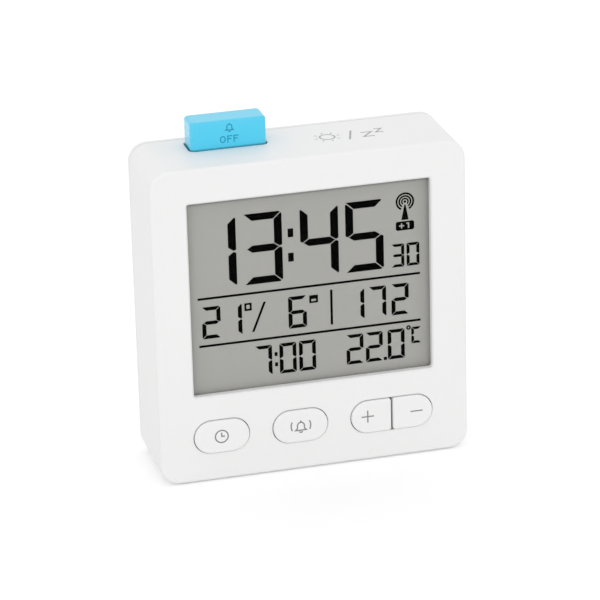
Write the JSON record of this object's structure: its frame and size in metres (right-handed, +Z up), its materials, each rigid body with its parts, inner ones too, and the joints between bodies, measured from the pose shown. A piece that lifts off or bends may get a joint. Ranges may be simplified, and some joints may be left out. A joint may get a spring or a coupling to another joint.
{
  "type": "digital alarm clock",
  "caption": "Square table alarm clock with a liquid-crystal display, a row of front keys, a sliding alarm-off key on top and a hinged battery door.",
  "frame": {"origin": "middle of the overall box in plan, at the plane that the feet stand on", "axes": "+X to the right seen from the front, +Y from the display to the back, +Z up"},
  "size_m": [0.085, 0.0276, 0.0958],
  "materials": {
    "white_shell": "smooth satin",
    "white_keys": "smooth satin",
    "clear_lens": "clear gloss",
    "display_glass": "grey-green gloss",
    "polariser_film": "grey film",
    "light_guide": "milky",
    "diode": "clear resin",
    "elastomer": "striped elastomer",
    "circuit_board": "solder mask",
    "black_resin": "moulded resin",
    "steel_can": "drawn can",
    "blue_key": "smooth satin",
    "switch_plastic": "moulded",
    "spring_steel": "nickel plated",
    "copper_foil": "thin plate",
    "ferrite": "sintered",
    "bobbin": "moulded",
    "copper_wire": "enamelled wire",
    "brass_disc": "rolled",
    "ceramic": "silvered ceramic",
    "cell_sleeve": "printed sleeve on a metal can",
    "lead_sleeve": "insulated wire",
    "screw_steel": "zinc plated",
    "rubber": "matt rubber"
  },
  "bodies": {
    "clock": {"front_housing": "white_shell", "rear_cover": "white_shell", "display_window": "clear_lens", "front_polariser": "display_glass", "lcd_front_glass": "display_glass", "lcd_rear_glass": "display_glass", "rear_polariser": "polariser_film", "light_guide": "light_guide", "backlight_led": "diode", "lcd_holder": "light_guide", "contact_strip": "elastomer", "main_board": "circuit_board", "controller_blob": "black_resin", "receiver_chip": "black_resin", "quartz_crystal": "steel_can", "capacitor": "black_resin", "key_switches": "black_resin", "switch_spring": "spring_steel", "latching_switch": "switch_plastic", "switch_board": "circuit_board", "touch_plate": "copper_foil", "ferrite_rod": "ferrite", "antenna_bobbin": "bobbin", "antenna_coil": "copper_wire", "sounder_disc": "brass_disc", "sounder_ceramic": "ceramic", "temperature_sensor": "black_resin", "battery_cells": "cell_sleeve", "battery_springs": "spring_steel", "battery_contacts": "spring_steel", "battery_leads": "lead_sleeve", "sounder_leads": "lead_sleeve", "antenna_leads": "copper_wire", "switch_leads": "lead_sleeve", "touch_lead": "lead_sleeve", "board_screws": "screw_steel", "case_screws": "screw_steel", "rubber_feet": "rubber"},
    "time_key": {"time_key": "white_keys", "time_switch_button": "switch_plastic"},
    "alarm_key": {"alarm_key": "white_keys", "alarm_switch_button": "switch_plastic"},
    "plus_key": {"plus_key": "white_keys", "plus_switch_button": "switch_plastic"},
    "minus_key": {"minus_key": "white_keys", "minus_switch_button": "switch_plastic"},
    "alarm_off_key": {"alarm_off_key": "blue_key", "switch_plunger": "switch_plastic"},
    "battery_door": {"battery_door": "white_shell"}
  },
  "joints": [
    {"name": "time_key_press", "type": "slide", "parent": "clock", "child": "time_key", "axis": [0, 1, 0], "range_m": [0, 0.0006], "stiffness_N_per_m": 1500, "springref_m": -0.0004},
    {"name": "alarm_key_press", "type": "slide", "parent": "clock", "child": "alarm_key", "axis": [0, 1, 0], "range_m": [0, 0.0006], "stiffness_N_per_m": 1500, "springref_m": -0.0004},
    {"name": "plus_key_press", "type": "slide", "parent": "clock", "child": "plus_key", "axis": [0, 1, 0], "range_m": [0, 0.0006], "stiffness_N_per_m": 1500, "springref_m": -0.0004},
    {"name": "minus_key_press", "type": "slide", "parent": "clock", "child": "minus_key", "axis": [0, 1, 0], "range_m": [0, 0.0006], "stiffness_N_per_m": 1500, "springref_m": -0.0004},
    {"name": "alarm_off_press", "type": "slide", "parent": "clock", "child": "alarm_off_key", "axis": [0, 0, -1], "range_m": [0, 0.004], "stiffness_N_per_m": 200, "springref_m": -0.004, "deforming": ["switch_spring"]},
    {"name": "door_hinge", "type": "hinge", "parent": "clock", "child": "battery_door", "pos_m": [0, 0.01265, 0.01535], "axis": [-1, 0, 0], "range_deg": [0, 90]}
  ]
}
